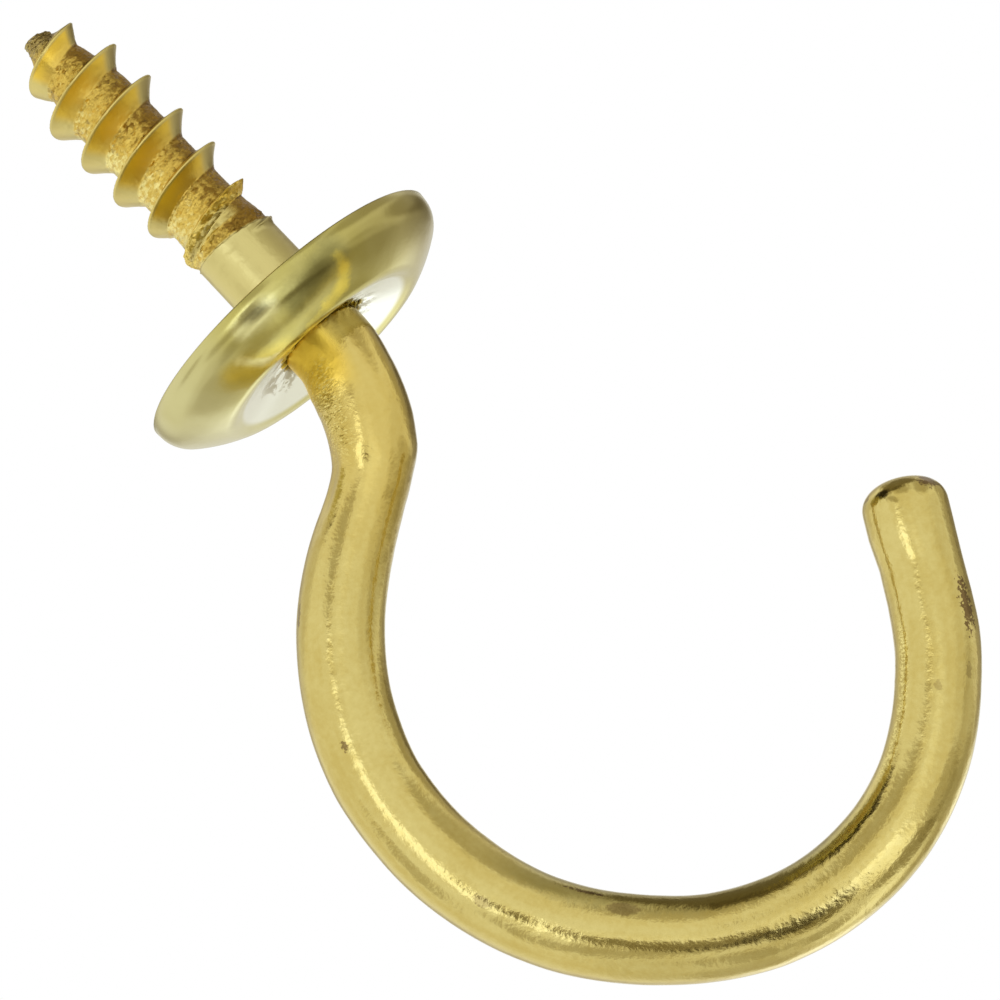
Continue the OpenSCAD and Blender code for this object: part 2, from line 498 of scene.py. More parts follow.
def lay_along_route(wiring, x, y, height):
    """Places the straight wire's points along its route, which starts on the Z axis."""
    below = -height
    place = wiring.join(x, y, height)
    point, heading, start = Vector((0.0, 0.0)), -90.0, 0.0
    for size, turn in ROUTE_MM:
        way = Vector((math.cos(math.radians(heading)), math.sin(math.radians(heading))))
        left = Vector((-way.y, way.x))
        if turn == 0:
            length = size * MM
            run = below - start
            across = wiring.join(
                point.x + run * way.x + x * left.x, y, point.y + run * way.y + x * left.y)
            point = point + way * length
        else:
            side = math.copysign(1.0, turn)
            length = size * MM * math.radians(abs(turn))
            centre = point + left * side * size * MM
            first = math.radians(heading - 90.0 * side)
            angle = first + (below - start) * (side / (size * MM))
            arm = size * MM - side * x
            across = wiring.join(
                centre.x + arm * angle.math("COSINE"), y, centre.y + arm * angle.math("SINE"))
            last = first + math.radians(turn)
            point = centre + Vector((math.cos(last), math.sin(last))) * size * MM
            heading += turn
        past = below.math("GREATER_THAN", start)
        place = wiring.node(
            "GeometryNodeSwitch", {"input_type": "VECTOR"},
            {"Switch": past, "False": place, "True": across}).outputs[0]
        start += length
    return place


def wire_tree():
    """Geometry Nodes: sweeps the stations into a tube, cuts the thread and lays the route."""
    tree = bpy.data.node_groups.new("Threaded wire", "GeometryNodeTree")
    keys = {"Geometry": add_input(tree, "Geometry", "NodeSocketGeometry")}
    for name in ("Pitch", "Crest Height", "Tip Flank", "Head Flank", "Dents"):
        keys[name] = add_input(tree, name, "NodeSocketFloat", 0.001)
    keys["Sides"] = add_input(tree, "Sides", "NodeSocketInt", 64)
    keys["Seed"] = add_input(tree, "Seed", "NodeSocketInt", 0)
    keys["Material"] = add_input(tree, "Material", "NodeSocketMaterial")
    tree.interface.new_socket(name="Geometry", in_out="OUTPUT", socket_type="NodeSocketGeometry")
    wiring = Wiring(tree)
    sources = wiring.node("NodeGroupInput")
    given = {name: Signal(wiring, sources.outputs[name]) for name in keys}

    line = wiring.signal("GeometryNodeMeshToCurve", None, {"Mesh": given["Geometry"]})
    ring = wiring.signal(
        "GeometryNodeCurvePrimitiveCircle", None, {"Resolution": given["Sides"], "Radius": 1.0})
    tube = wiring.signal(
        "GeometryNodeCurveToMesh", None,
        {"Curve": line, "Profile Curve": ring, "Scale": named(wiring, "core"),
         "Fill Caps": True})

    here = wiring.node("GeometryNodeInputPosition").outputs[0]
    x, y, height = wiring.split(here)
    turn = y.math("ARCTAN2", x) / math.tau
    radial = wiring.length(wiring.join(x, y, 0.0)).math("MAXIMUM", 1e-7)
    level = height / MM
    radius, rise = thread_height(
        wiring, given, height, turn, named(wiring, "core"), named(wiring, "reach"))
    # The shank keeps its full width up to a shoulder, which lies lower on the mouth's side
    lowered = level + x / radial * SHOULDER_LEAN_MM
    screw_foot, shank_radius = SCREW_MM[0][:2]
    shank = lowered.step(SHOULDER_MM + 0.06, SHOULDER_MM - 0.06)
    shank = shank * level.step(screw_foot - 0.05, screw_foot)
    radius = radius.math("MAXIMUM", shank * (shank_radius * MM))
    rise = rise * (1 - shank)

    # Unevenness, in millimetres: the wire's long dents, chewed run-out, coarse roots, torn tip
    spot = wiring.vector("SCALE", here, 1 / MM)
    long_spot = wiring.vector("MULTIPLY", spot, (0.35, 0.35, 0.22))
    swell = wiring.noise(long_spot, 1.0, 1.0, 0.4, given["Seed"]) - 0.5
    small = wiring.noise(spot, 0.9, 1.0, 0.4, given["Seed"]) - 0.5
    coarse = wiring.noise(spot, 3.4, 2.0, 0.6, given["Seed"]) - 0.5
    grain = wiring.noise(spot, 6.5, 1.5, 0.6, given["Seed"]) - 0.5
    plain = lowered.step(SHOULDER_MM + 0.05, SHOULDER_MM - 0.15)
    screw = 1 - plain
    crested = rise.step(0.3, 0.6)
    belt = lowered.step(SHOULDER_MM + 0.62, SHOULDER_MM + 0.45)
    runout = level.step(6.2, 5.4) * screw * (crested + belt).math("MINIMUM", 1.0)
    torn = level.step(14.6, 15.1)
    cut = screw * grain * (1 - crested * 0.85)
    rough = (runout * coarse * 0.34 + cut * 0.06 + torn * coarse * 0.5) * MM
    even = (swell * 1.5 + small * 0.35) * plain * given["Dents"]
    for around, below, wide, long, depth in DENTS_MM:
        around = math.radians(around)
        middle = (WIRE_RADIUS_MM * math.cos(around), WIRE_RADIUS_MM * math.sin(around), -below)
        apart = wiring.vector("SUBTRACT", spot, middle)
        apart = wiring.vector("DIVIDE", apart, (wide, wide, long))
        even = even - (-(wiring.length(apart) ** 2.0)).math("EXPONENT") * (depth * MM)
    radius = (radius + rough + even).math("MAXIMUM", 0.01 * MM)

    # Points move out from the axis, and their place on the straight wire is kept for the brass
    grown = radius / radial
    x, y = x * grown, y * grown
    straight = wiring.vector("SCALE", wiring.join(x, y, height), 1 / MM)
    marked = stored(wiring, tube, "straight", "FLOAT_VECTOR", straight)
    marked = stored(wiring, marked, "rise", "FLOAT", rise)
    x, y, height = [part * MM for part in wiring.split(named_vector(wiring, "straight"))]
    placed = lay_along_route(wiring, x + named(wiring, "drift"), y, height)
    laid = wiring.signal(
        "GeometryNodeSetPosition", None, {"Geometry": marked, "Position": placed})
    smooth = wiring.signal(
        "GeometryNodeSetShadeSmooth", None, {"Geometry": laid, "Shade Smooth": True})
    real = wiring.signal("GeometryNodeRealizeInstances", None, {"Geometry": smooth})
    done = wiring.signal(
        "GeometryNodeSetMaterial", None, {"Geometry": real, "Material": given["Material"]})
    wiring.node("NodeGroupOutput", None, {"Geometry": done})
    return tree, keys


def made_plain(shape, name, tree, values):
    """Runs a Geometry Nodes tree on an object and returns its result as a plain mesh."""
    modifier = shape.modifiers.new("Shape", "NODES")
    modifier.node_group = tree
    for identifier, value in values.items():
        modifier[identifier] = value
    bpy.context.view_layer.update()
    evaluated = shape.evaluated_get(bpy.context.evaluated_depsgraph_get())
    mesh = bpy.data.meshes.new_from_object(evaluated)
    shape.modifiers.remove(modifier)
    bpy.data.objects.remove(shape)
    mesh.name = name
    made = bpy.data.objects.new(name, mesh)
    bpy.context.scene.collection.objects.link(made)
    return made


def arc_points(centre, radius, start, stop, count):
    turns = [start + (stop - start) * i / count for i in range(count + 1)]
    return [centre + radius * Vector((math.cos(t), math.sin(t))) for t in turns]


def collar_section(sizes):
    """Closed outline of the sheet as radius and depth, bevelled at the rim, round at the hole."""
    start = Vector((RIM_RADIUS - sizes.rim_height * math.tan(RIM_FACING), sizes.rim_height))
    # Radius of each bend, where the sheet faces at its end, and its rows
    bends = [
        (sizes.shoulder_round, SHOULDER_FACING, 10),
        (sizes.wall_round, WALL_FACING, 10),
        (sizes.crest_round, math.pi / 2 + sizes.dish_slope, 14),
    ]

    def face(inset):
        points = [Vector((RIM_RADIUS - inset, 0.0))]
        point, facing = start, RIM_FACING
        for radius, stop, count in bends:
            centre = point - radius * Vector((math.cos(facing), math.sin(facing)))
            points += arc_points(centre, radius - inset, facing, stop, count)[1:]
            point = centre + radius * Vector((math.cos(stop), math.sin(stop)))
            facing = stop
        last = points[-1]
        for i in range(1, DISH_ROWS + 1):
            radius = last.x + (sizes.hole_radius - last.x) * i / DISH_ROWS
            sag = (last.x - radius) * math.tan(sizes.dish_slope)
            points.append(Vector((radius, last.y - sag)))
        return points

    def rolled(first, second, count=6):
        """Half circle from the end of one face to the end of the other."""
        middle, arm = (first + second) / 2, (first - second) / 2
        out = []
        for i in range(1, count):
            turn = Matrix.Rotation(-math.pi * i / count, 2)
            out.append(middle + turn @ arm)
        return out

    outer, inner = face(0.0), face(sizes.sheet)
    deepest = max(point.y for point in outer)
    for point in outer + inner:
        point.y *= COLLAR_DEPTH / deepest
    bevel = sizes.sheet * RIM_BEVEL
    edge = [inner[0] + Vector((bevel, 0.0)), outer[0] - Vector((bevel, 0.0))]
    inner[0].y += bevel
    outer[0].y += bevel
    return outer + rolled(outer[-1], inner[-1]) + inner[::-1] + edge


def collar_mesh(sizes):
    """The section turned about the Z axis, then set askew on the wire."""
    section = collar_section(sizes)
    crest_radius = max(section, key=lambda point: point[1])[0]
    points, faces = [], []
    for i in range(COLLAR_SIDES):
        turn = math.tau * i / COLLAR_SIDES
        for radius, depth in section:
            near = max(0.0, 1 - (radius - sizes.hole_radius) / (BURR_REACH_MM * MM))
            burr = BURR_MM * MM * near * (math.sin(turn * 7 + 1) + math.sin(turn * 17))
            wave = WAVE_MM * MM * math.sin(turn * 2 + 0.6) * (radius / RIM_RADIUS)
            # The rim drifts off the wire, and the dish stays on it
            inwards = (crest_radius - radius) / (crest_radius - sizes.hole_radius)
            shift = (sizes.drift + DISH_DRIFT_MM * MM) * max(0.0, min(1.0, inwards))
            reach = radius + burr + wave
            points.append((
                shift + reach * math.cos(turn), reach * math.sin(turn), -depth + burr * 0.5))
    count = len(section)
    for i in range(COLLAR_SIDES):
        here, beyond = i * count, ((i + 1) % COLLAR_SIDES) * count
        for j in range(count):
            onward = (j + 1) % count
            faces.append((here + j, here + onward, beyond + onward, beyond + j))
    mesh = bpy.data.meshes.new("collar_sheet")
    mesh.from_pydata(points, [], faces)
    mesh.polygons.foreach_set("use_smooth", [True] * len(faces))
    middle = Vector((0.0, 0.0, -COLLAR_DEPTH / 2))
    askew = Matrix.Translation(middle + Vector((-sizes.drift, 0.0, 0.0)))
    askew @= Matrix.Rotation(sizes.lean, 4, "Y") @ Matrix.Translation(-middle)
    mesh.transform(askew)
    mesh.update()
    return mesh


def link_piece(name, mesh, material, node):
    """A finished piece that stands for a CAD node."""
    piece = bpy.data.objects.new(name, mesh)
    bpy.context.scene.collection.objects.link(piece)
    mesh.materials.clear()
    mesh.materials.append(material)
    declare(piece, node)
    return piece


def declare(piece, node):
    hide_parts(node)
    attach(piece, "root")


# ---------------------------------------------------------------- finishes

def new_material(name):
    material = bpy.data.materials.new(name)
    material.use_nodes = True
    return material, Wiring(material.node_tree)


def finish_material(wiring, colour, roughness, height_mm):
    """Metal with a colour, a roughness and a relief in millimetres."""
    bump = wiring.node(
        "ShaderNodeBump", None, {"Strength": 1.0, "Distance": MM, "Height": height_mm})
    shader = wiring.node(
        "ShaderNodeBsdfPrincipled", None,
        {"Base Color": colour, "Metallic": 1.0, "Roughness": roughness,
         "Normal": bump.outputs[0]})
    wiring.node("ShaderNodeOutputMaterial", None, {"Surface": shader.outputs[0]})


# Marks on the wire, in the order they are painted: place towards the mouth and distance below
# the rim, half width, half length, strength, and how ragged their outline is
MARKS_MM = [
    (-0.43, 18.6, 0.13, 0.22, 0.75, 0.9),
    (-0.36, 26.5, 0.24, 0.42, 0.45, 0.4),
    (1.03, 32.0, 0.30, 0.75, 0.55, 0.25),
    (1.45, 30.2, 0.10, 0.9, 0.8, 0.9),
    (-1.40, 52.3, 0.27, 1.0, 0.9, 1.0),
    (-1.30, 57.5, 0.62, 0.55, 0.9, 0.4),
    (1.50, 57.3, 0.25, 0.35, 0.6, 0.4),
    (-1.50, 13.5, 0.12, 0.5, 0.6, 0.6),
    (-0.10, 49.4, 0.16, 0.22, 0.3, 0.6),
    (-1.25, 50.0, 0.14, 0.3, 0.35, 0.6),
]


def wire_brass(finishes):
    """Drawn brass: bands along the wire, fine grain, cut thread with stained roots, painted glints
    and painted shade.
    """
    material, wiring = new_material("Drawn brass")
    place = wiring.node("ShaderNodeAttribute", {"attribute_name": "straight"}).outputs["Vector"]
    x, y, height = wiring.split(place)
    radial = wiring.length(wiring.join(x, y, 0.0))
    lowered = height + x / radial.math("MAXIMUM", 0.01) * SHOULDER_LEAN_MM
    screw = lowered.step(SHOULDER_MM - 0.03, SHOULDER_MM + 0.05)
    plain = 1 - screw
    sideways = x / radial

    bands = wiring.noise(wiring.vector("MULTIPLY", place, (1.5, 1.5, 0.07)), 1.0, 2.0, 0.5, 3.0)
    lines = wiring.noise(wiring.vector("MULTIPLY", place, (9.0, 9.0, 0.35)), 1.0, 2.0, 0.6, 5.0)
    cloud = wiring.noise(place, 0.45, 3.0, 0.6, 11.0)
    peel = wiring.noise(place, 1.6, 2.0, 0.55, 13.0)
    pebble = wiring.noise(place, 4.2, 2.0, 0.6, 15.0)
    grain = wiring.noise(place, 9.0, 2.0, 0.6, 17.0)
    fine = wiring.noise(place, 20.0, 1.0, 0.6, 19.0)

    # The die left the roots in short facets
    streaked = wiring.vector("MULTIPLY", place, (0.8, 0.8, 1.6))
    big, big_tone = wiring.facets(streaked, 4.6)
    small, small_tone = wiring.facets(streaked, 10.0)

    rise = Signal(wiring, wiring.node(
        "ShaderNodeAttribute", {"attribute_name": "rise"}).outputs["Fac"])
    crest = screw * rise.step(0.06, 0.16)
    root = screw * (1 - crest)
    runout = height.step(5.9, 5.3) * screw
    edge = screw * rise.step(0.84, 0.95) * (1 - runout)
    belt = screw * (lowered - x * 0.1).step(SHOULDER_MM + 0.58, SHOULDER_MM + 0.46)
    bare = screw * rise.step(0.8, 0.5) * lowered.step(SHOULDER_MM + 1.25, SHOULDER_MM + 1.05)
    bare = bare * (1 - belt) * x.step(1.2, 0.8)
    glitter = (root + runout * crest).math("MINIMUM", 1.0) * (1 - bare)

    # Plain wire, and the shank with painted shade down its side towards the mouth
    brass = rgba(finishes.brass)
    deeper = rgba([c * k for c, k in zip(finishes.brass, (0.84, 0.78, 0.60))])
    mottle = (bands * 0.45 + cloud * 0.3 + pebble * 0.25).step(0.34, 0.66)
    colour = wiring.blend(mottle, deeper, brass)
    shank = height.step(-0.5, 0.5) * plain
    colour = wiring.blend(shank, colour, rgba(finishes.shank))
    colour = wiring.blend(shank * sideways.step(0.5, 0.95) * 0.6, colour, rgba(finishes.painted_shade_and_oil))
    # Flanks, which are gold in the hollow and pale at both sides, with painted shade on the side
    # towards the mouth
    flank = wiring.blend(rise.step(0.1, 0.8), rgba(finishes.gold), rgba(finishes.flank))
    fin = (sideways.step(-0.66, -0.88) + sideways.step(0.64, 0.86)).math("MINIMUM", 1.0)
    flank = wiring.blend(fin * 0.85, flank, rgba(finishes.shank))
    flank = wiring.blend(sideways.step(0.6, 0.9) * 0.5, flank, rgba(finishes.painted_shade_and_oil))
    colour = wiring.blend(screw * (1 - bare), colour, flank)
    # Roots and the torn run-out, from dark specks through gold to painted glints. The dark specks
    # are partly painted shade, and the roots are painted darker towards the mouth's side
    tone = big_tone * 0.26 + small_tone * 0.10 + pebble * 0.9 + cloud - x * 0.26
    tone = tone - belt * 0.15 - height.step(11.5, 13.5) * 0.10 - 0.84
    tone = tone + runout * crest * (big_tone * 0.6 + 0.22)
    cut = wiring.blend(tone.step(-0.05, 0.36), rgba(finishes.pit), rgba(finishes.gold))
    cut = wiring.blend(tone.step(0.46, 0.84), cut, rgba(finishes.painted_glint))
    cut = wiring.blend(runout * crest * 0.45, cut, rgba(finishes.flank))
    colour = wiring.blend(glitter, colour, cut)
    blotch = (wiring.noise(place, 1.1, 3.0, 0.65, 23.0) + pebble * 0.5).step(0.84, 0.94)
    colour = wiring.blend(blotch * root * 0.6 * (1 - bare), colour, rgba(finishes.pit))
    # Painted shade on the roots' side towards the mouth
    colour = wiring.blend(root * sideways.step(0.1, 1.0) * 0.55, colour, rgba(finishes.pit))
    colour = wiring.blend(edge * 0.8, colour, brass)
    # The tip turns darker over its last half millimetre
    colour = wiring.blend(height.step(14.3, 14.8) * 0.65, colour, rgba(finishes.painted_shade_and_oil))
    # The neck is golden, and amber close under the collar
    under = height.step(-0.9, -1.3)
    amber = under * height.step(-4.8, -3.0) * x.step(0.7, -0.3)
    neck = under * height.step(-13.0, -7.0)
    colour = wiring.blend(neck * 0.4, colour, rgba([c * 0.9 for c in finishes.gold]))
    colour = wiring.blend(amber, colour, rgba(finishes.flank))
    # Painted shade down the neck's side towards the mouth
    colour = wiring.blend(neck * sideways.step(0.86, 0.98) * 0.6, colour, rgba(finishes.painted_shade_and_oil))
    # A painted dark reflection in the lee of the bowl, and a line of painted glints up the inside
    # of the lip
    lee = (x + pebble * 0.4).step(0.95, 1.45) * height.step(-24.5, -28.5)
    lee = lee * (height - pebble * 3.0).step(-46.5, -42.0)
    colour = wiring.blend(lee * 0.45, colour, rgba(finishes.painted_dark_reflection))
    specks = x.step(1.0, 1.2) * x.step(1.5, 1.35) * height.step(-44.5, -46.0)
    specks = specks * height.step(-53.0, -51.0)
    specks = specks * (small_tone * 0.6 + pebble * 0.8).step(0.62, 0.8)
    colour = wiring.blend(specks * 0.8, colour, rgba(finishes.painted_glint))
    # The back of the neck is pebbled by the bending tool, with painted glints on its pebbles
    pebbled = height.step(-2.0, -3.2) * height.step(-8.5, -6.0) * x.step(-0.2, -0.9)
    colour = wiring.blend(small_tone.step(0.7, 0.95) * pebbled * 0.5, colour, rgba(finishes.painted_glint))

    ragged = grain * 0.5 + pebble * 0.5 - 0.5
    for across, below, wide, long, strength, torn in MARKS_MM:
        facing = -math.sqrt(max(0.0, WIRE_RADIUS_MM ** 2 - across ** 2))
        apart = wiring.vector("SUBTRACT", place, (across, facing, -below))
        apart = wiring.vector("DIVIDE", apart, (wide, wide * 1.3, long))
        mask = (wiring.length(apart) + ragged * (torn * 5.0)).step(1.1, 0.75) * strength
        colour = wiring.blend(mask, colour, rgba(finishes.stain))

    roughness = (
        0.10 + bands * 0.06 + cloud * 0.05 + glitter * 0.16 + crest * 0.2 + shank * 0.16
        + amber * 0.2)
    relief = (
        bands * 0.014 * plain + lines * 0.0016 * plain + peel * 0.026 * plain
        + pebble * (0.009 + glitter * 0.03 + pebbled * 0.02)
        + grain * (0.0042 + glitter * 0.008 + pebbled * 0.008) + fine * 0.0008
        + (big + small * 0.7) * (glitter * 0.34 + runout * crest * 0.3 + pebbled * 0.08))
    finish_material(wiring, colour, roughness, relief)
    return material


# Painted highlights and painted reflections, pale, golden and dark, on the collar's outer face:
# from one place to another, half width, strength and the finish they show
SHEET_MARKS_MM = [
    ((2.4, -6.2, -0.95), (0.2, -6.3, -1.15), 0.75, 0.6, "painted_dark_reflection"),
    ((1.7, -6.2, -1.1), (0.3, -6.1, -1.35), 0.50, 0.6, "painted_dark_reflection"),
    ((-2.0, -6.55, -0.8), (-0.7, -6.75, -0.8), 0.45, 0.55, "painted_pale_highlight"),
    ((0.0, -4.95, -2.1), (1.0, -5.0, -2.0), 0.20, 0.4, "painted_gold_highlight"),
    ((1.0, -5.0, -2.0), (1.9, -5.0, -1.88), 0.34, 0.65, "painted_gold_highlight"),
    ((1.9, -5.0, -1.88), (2.4, -5.4, -1.55), 0.34, 0.75, "painted_gold_highlight"),
    ((2.4, -5.4, -1.55), (2.6, -5.9, -1.15), 0.26, 0.55, "painted_gold_highlight"),
    ((-3.3, -5.3, -1.5), (-1.5, -5.0, -2.0), 0.60, 0.45, "painted_gold_highlight"),
    ((-2.9, -5.6, -1.40), (-2.25, -4.9, -1.98), 0.26, 0.7, "painted_pale_highlight"),
    ((-2.25, -4.9, -1.98), (-1.1, -4.5, -2.13), 0.28, 0.9, "painted_pale_highlight"),
]


def sheet_brass(finishes):
    """Pressed brass: bright sheet, faint rings, painted highlights, reflections and shade, old oil
    at the hole.
    """
    material, wiring = new_material("Pressed brass")
    place = wiring.vector(
        "SCALE", wiring.node("ShaderNodeTexCoord").outputs["Object"], 1 / MM)
    x, y, height = wiring.split(place)
    out = wiring.length(wiring.join(x + COLLAR_DRIFT_MM, y, 0.0))
    cloud = wiring.noise(place, 0.5, 2.0, 0.5, 31.0)
    peel = wiring.noise(place, 1.8, 2.0, 0.5, 37.0)
    grain = wiring.noise(place, 8.0, 2.0, 0.6, 41.0)
    rings = wiring.noise(wiring.join(out * 6.0, cloud, 0.0), 1.0, 2.0, 0.6, 43.0)

    bright = rgba(finishes.sheet)
    deeper = rgba([c * k for c, k in zip(finishes.sheet, (0.9, 0.88, 0.72))])
    colour = wiring.blend(cloud.step(0.35, 0.65), deeper, bright)
    # Painted whitish reflection on the side away from the mouth, and painted shade on the side
    # towards it
    colour = wiring.blend(x.step(-1.5, -5.5) * 0.22, colour, rgba(finishes.painted_silvery_reflection))
    colour = wiring.blend(x.step(1.5, 6.0) * 0.55, colour, rgba(finishes.painted_shade_and_oil))
    # Painted highlights and painted dark reflections along the collar's crest and wall
    for first, second, wide, strength, finish in SHEET_MARKS_MM:
        gap = wiring.gap(place, first, second) + (peel - 0.5) * 0.3 + (grain - 0.5) * 0.25
        mask = gap.step(wide * 1.5, wide * 0.2) * strength
        colour = wiring.blend(mask, colour, rgba(getattr(finishes, finish)))
    # The dish's outer face lies lower than the middle of the sheet
    outer = (height + out * DISH_FALL + DISH_DEPTH_MM).step(0.05, -0.05)
    dish = out.step(4.35, 4.0) * outer
    # Painted whitish reflection on the dish
    colour = wiring.blend(dish, colour, rgba(finishes.painted_silvery_reflection))
    # Old oil round the hole, in the same dark colour as the painted shade
    middle = out.step(3.4, 2.4) * (0.4 + outer * 0.6)
    stained = (peel * 0.7 + grain * 0.4 + middle * 0.16).step(0.68, 0.76) * middle
    colour = wiring.blend(stained * 0.6, colour, rgba(finishes.painted_shade_and_oil))
    roughness = 0.18 + cloud * 0.08 + stained * 0.2
    relief = rings * 0.0012 + peel * 0.008 + grain * (0.0012 + middle * 0.006)
    finish_material(wiring, colour, roughness, relief)
    return material


# ---------------------------------------------------------------- studio

# The view: the place it is aimed at, how far off the camera stands, its lean and its roll
AIM_MM = (0.6, 0.0, -11.25)
VIEW_DISTANCE = 0.218
VIEW_LIFT = math.radians(-10.5)
VIEW_ROLL = math.radians(43.8)
LENS_MM = 201.2
SENSOR_MM = 36.0
FLOOR_DROP = 0.12
FLOOR_HALF = 3.0

# What the gloss sees of the room: soft screens and soft lights, each from one direction to
# another. A direction is degrees off the camera's side and degrees round it, anticlockwise
# from the right. Then half width, and brightness against the plain wall behind.
ROOM_BRIGHTNESS = 1.03
ROOM = [
    ((180, 0), (180, 90), 0.66, 0.50),
    ((146, 314), (176, 308), 0.36, 1.75),
    ((135, 5), (150, 20), 0.24, 0.50),
    ((116, 26), (136, 36), 0.28, 0.52),
    ((104, -12), (84, -4), 0.30, 0.70),
    ((60, 10), (84, 18), 0.26, 0.88),
    ((100, 340), (118, 340), 0.24, 0.70),
    ((78, 62), (112, 70), 0.34, 0.60),
    ((72, 102), (88, 104), 0.26, 0.60),
    ((38, 140), (62, 140), 0.16, 0.58),
    ((90, 140), (106, 138), 0.25, 0.02),
    ((98, 116), (128, 100), 0.32, 0.22),
    ((104, 280), (64, 272), 0.36, 0.84),
    ((96, 280), (116, 284), 0.18, 0.78),
    ((108, 160), (130, 176), 0.26, 0.80),
    ((22, 275), (32, 291), 0.14, 0.15),
    ((36, 293), (46, 301), 0.14, 0.24),
    ((62, 322), (78, 328), 0.17, 0.42),
    ((58, 276), (76, 283), 0.15, 0.66),
    ((56, 345), (80, 340), 0.18, 0.62),
    ((17, 206), (20, 262), 0.15, 0.26),
    ((50, 238), (32, 250), 0.16, 0.60),
    ((68, 212), (82, 218), 0.12, 0.66),
    ((0, 290), (12, 310), 0.26, 1.16),
    ((20, 312), (50, 322), 0.15, 1.50),
    ((82, 317), (104, 306), 0.12, 1.30),
    ((74, 300), (90, 300), 0.12, 0.60),
    ((112, 320), (136, 320), 0.16, 0.60),
    ((27, 176), (30, 202), 0.14, 1.80),
]


def view_axes():
    """Right, up and backward of the camera."""
    back = Vector((0.0, -math.cos(VIEW_LIFT), math.sin(VIEW_LIFT)))
    right = Vector((1.0, 0.0, 0.0))
    up = back.cross(right)
    turn = Matrix.Rotation(VIEW_ROLL, 3, -back)
    return turn @ right, turn @ up, back


def direction(off, around):
    """A direction from the hook, by its angle off the camera's side and round it."""
    right, up, back = view_axes()
    off, around = math.radians(off), math.radians(around)
    sideways = right * math.cos(around) + up * math.sin(around)
    return sideways * math.sin(off) + back * math.cos(off)


def make_camera():
    data = bpy.data.cameras.new("Camera")
    data.lens = LENS_MM
    data.sensor_width = SENSOR_MM
    data.clip_start = 0.01
    camera = bpy.data.objects.new("Camera", data)
    bpy.context.scene.collection.objects.link(camera)
    right, up, back = view_axes()
    turned = Matrix((right, up, back)).transposed().to_4x4()
    aim = Vector(AIM_MM) * MM
    camera.matrix_world = Matrix.Translation(aim + back * VIEW_DISTANCE) @ turned
    bpy.context.scene.camera = camera


def make_world():
    """White to the camera, and to the brass a white room with soft dark screens in it."""
    world = bpy.data.worlds.new("Studio")
    bpy.context.scene.world = world
    world.use_nodes = True
    wiring = Wiring(world.node_tree)
    way = wiring.node("ShaderNodeTexCoord").outputs["Generated"]
    light = None
    for first, second, wide, brightness in ROOM:
        gap = wiring.gap(way, direction(*first), direction(*second))
        patch = 1 + gap.step(wide * 1.25, wide * 0.65) * (brightness - 1)
        light = patch if light is None else light * patch
    path = wiring.node("ShaderNodeLightPath")
    glossy = Signal(wiring, path.outputs["Is Glossy Ray"])
    # Dark screens are warm: they dim green a little more than red, and blue most
    room = wiring.join(light, light ** 1.1, light ** 1.4)
    colour = wiring.blend(glossy, (1.0, 1.0, 1.0, 1.0), room)
    strength = 1 + glossy * (ROOM_BRIGHTNESS - 1)
    shown = wiring.node("ShaderNodeBackground", None, {"Color": colour, "Strength": strength})
    wiring.node("ShaderNodeOutputWorld", None, {"Surface": shown.outputs[0]})


def make_lamp(name, way, distance, size, power):
    """A square soft lamp that faces the hook and isn't seen in its gloss."""
    data = bpy.data.lights.new(name, "AREA")
    data.shape = "SQUARE"
    data.size = size
    data.energy = power
    lamp = bpy.data.objects.new(name, data)
    bpy.context.scene.collection.objects.link(lamp)
    way = Vector(way).normalized()
    lamp.visible_glossy = False
    lamp.location = Vector(AIM_MM) * MM + way * distance
    lamp.rotation_euler = way.to_track_quat("Z", "Y").to_euler()


def make_floor(finishes):
    mesh = bpy.data.meshes.new("Floor")
    corners = [(-1, -1), (1, -1), (1, 1), (-1, 1)]
    points = [(x * FLOOR_HALF, y * FLOOR_HALF, -FLOOR_DROP) for x, y in corners]
    mesh.from_pydata(points, [], [(0, 1, 2, 3)])
    floor = bpy.data.objects.new("Floor", mesh)
    bpy.context.scene.collection.objects.link(floor)
    material, wiring = new_material("Studio floor")
    speckle = wiring.noise(
        wiring.node("ShaderNodeTexCoord").outputs["Object"], 40.0, 2.0, 0.5, 2.0)
    pale = rgba(finishes.floor)
    paler = rgba([min(1.0, c * 1.03) for c in finishes.floor])
    shader = wiring.node(
        "ShaderNodeBsdfPrincipled", None,
        {"Base Color": wiring.blend(speckle, pale, paler), "Roughness": 0.9})
    wiring.node("ShaderNodeOutputMaterial", None, {"Surface": shader.outputs[0]})
    mesh.materials.append(material)
    floor.visible_glossy = False


# ---------------------------------------------------------------- operators

class CUPHOOK_OT_wire(bpy.types.Operator):
    """Makes the threaded and bent wire"""

    bl_idname = "cuphook.wire"
    bl_label = "Make Wire"

    def execute(self, context):
        sizes = context.scene.cuphook_wire
        line = line_object("Wire stations", wire_stations(sizes))
        tree, keys = wire_tree()
        material = wire_brass(context.scene.cuphook_finishes)
        values = {
            keys["Pitch"]: sizes.pitch,
            keys["Crest Height"]: sizes.crest_height,
            keys["Tip Flank"]: sizes.tip_flank,
            keys["Head Flank"]: sizes.head_flank,
            keys["Dents"]: sizes.dents,
            keys["Sides"]: sizes.sides,
            keys["Seed"]: sizes.seed,
            keys["Material"]: material,
        }
        piece = made_plain(line, "wire", tree, values)
        if not piece.data.polygons:
            raise RuntimeError("the wire came out empty")
        declare(piece, "hook")
        return {"FINISHED"}


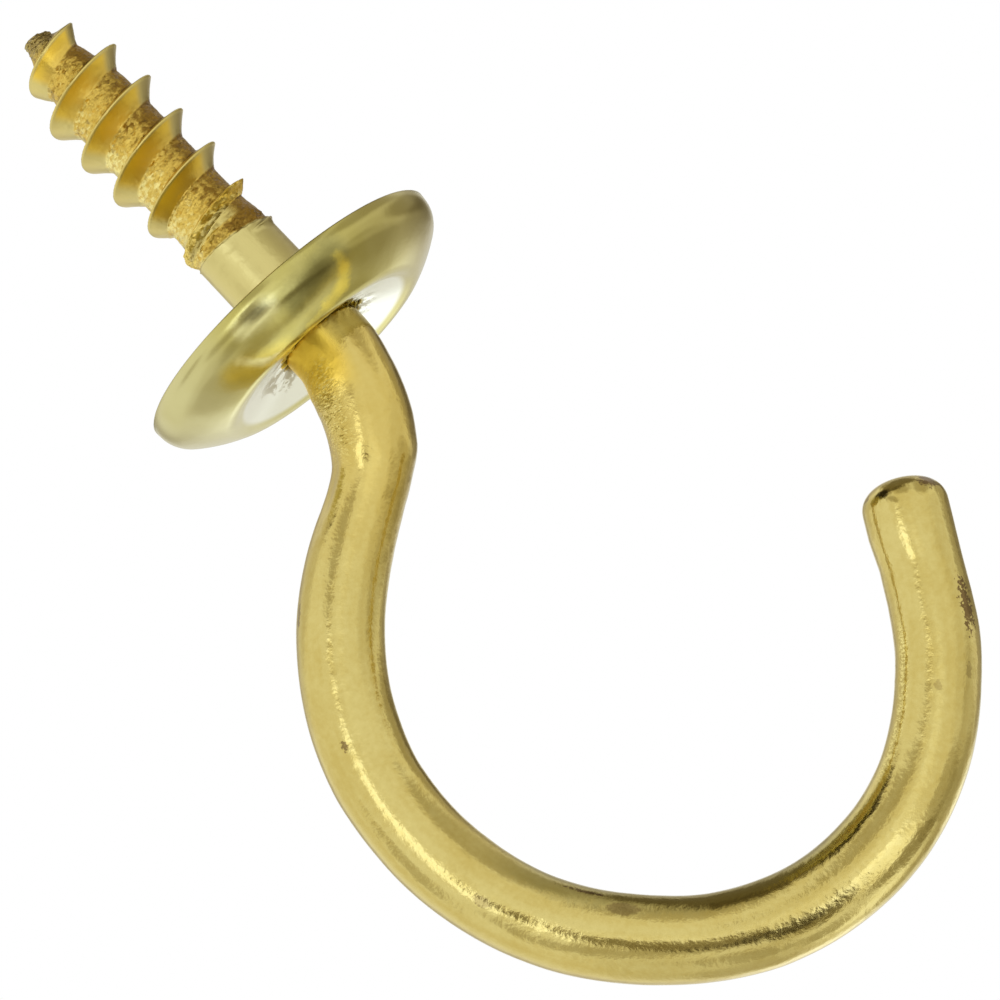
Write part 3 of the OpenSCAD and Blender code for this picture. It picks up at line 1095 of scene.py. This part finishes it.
class CUPHOOK_OT_collar(bpy.types.Operator):
    """Makes the pressed collar"""

    bl_idname = "cuphook.collar"
    bl_label = "Make Collar"

    def execute(self, context):
        mesh = collar_mesh(context.scene.cuphook_collar)
        material = sheet_brass(context.scene.cuphook_finishes)
        link_piece("pressed_collar", mesh, material, "collar")
        return {"FINISHED"}


class CUPHOOK_OT_stage(bpy.types.Operator):
    """Makes the floor, the lamps, the surroundings and the camera"""

    bl_idname = "cuphook.stage"
    bl_label = "Make Studio"

    def execute(self, context):
        make_floor(context.scene.cuphook_finishes)
        make_world()
        make_lamp("Top lamp", way=(-0.3, -0.4, 1.0), distance=0.6, size=0.3, power=0.6)
        make_camera()
        context.scene.view_settings.view_transform = "Standard"
        return {"FINISHED"}


class CUPHOOK_PT_parts(bpy.types.Panel):
    """Sizes, colours and makers of the cup hook"""

    bl_label = "Cup Hook"
    bl_space_type = "VIEW_3D"
    bl_region_type = "UI"
    bl_category = "Cup Hook"

    def draw(self, context):
        groups = (
            (context.scene.cuphook_wire, "cuphook.wire"),
            (context.scene.cuphook_collar, "cuphook.collar"),
            (context.scene.cuphook_finishes, "cuphook.stage"),
        )
        for group, operator in groups:
            box = self.layout.box()
            for name in group.__annotations__:
                box.prop(group, name)
            box.operator(operator)


CLASSES = (
    WireSizes, CollarSizes, Finishes,
    CUPHOOK_OT_wire, CUPHOOK_OT_collar, CUPHOOK_OT_stage, CUPHOOK_PT_parts,
)


def register():
    for made in CLASSES:
        bpy.utils.register_class(made)
    bpy.types.Scene.cuphook_wire = PointerProperty(type=WireSizes)
    bpy.types.Scene.cuphook_collar = PointerProperty(type=CollarSizes)
    bpy.types.Scene.cuphook_finishes = PointerProperty(type=Finishes)


def unregister():
    del bpy.types.Scene.cuphook_finishes
    del bpy.types.Scene.cuphook_collar
    del bpy.types.Scene.cuphook_wire
    for made in reversed(CLASSES):
        bpy.utils.unregister_class(made)


def plain(box):
    return [[float(v) for v in corner] for corner in box]


def main():
    register()
    bpy.ops.cuphook.wire()
    bpy.ops.cuphook.collar()
    bpy.ops.cuphook.stage()


if __name__ == "__main__":
    main()
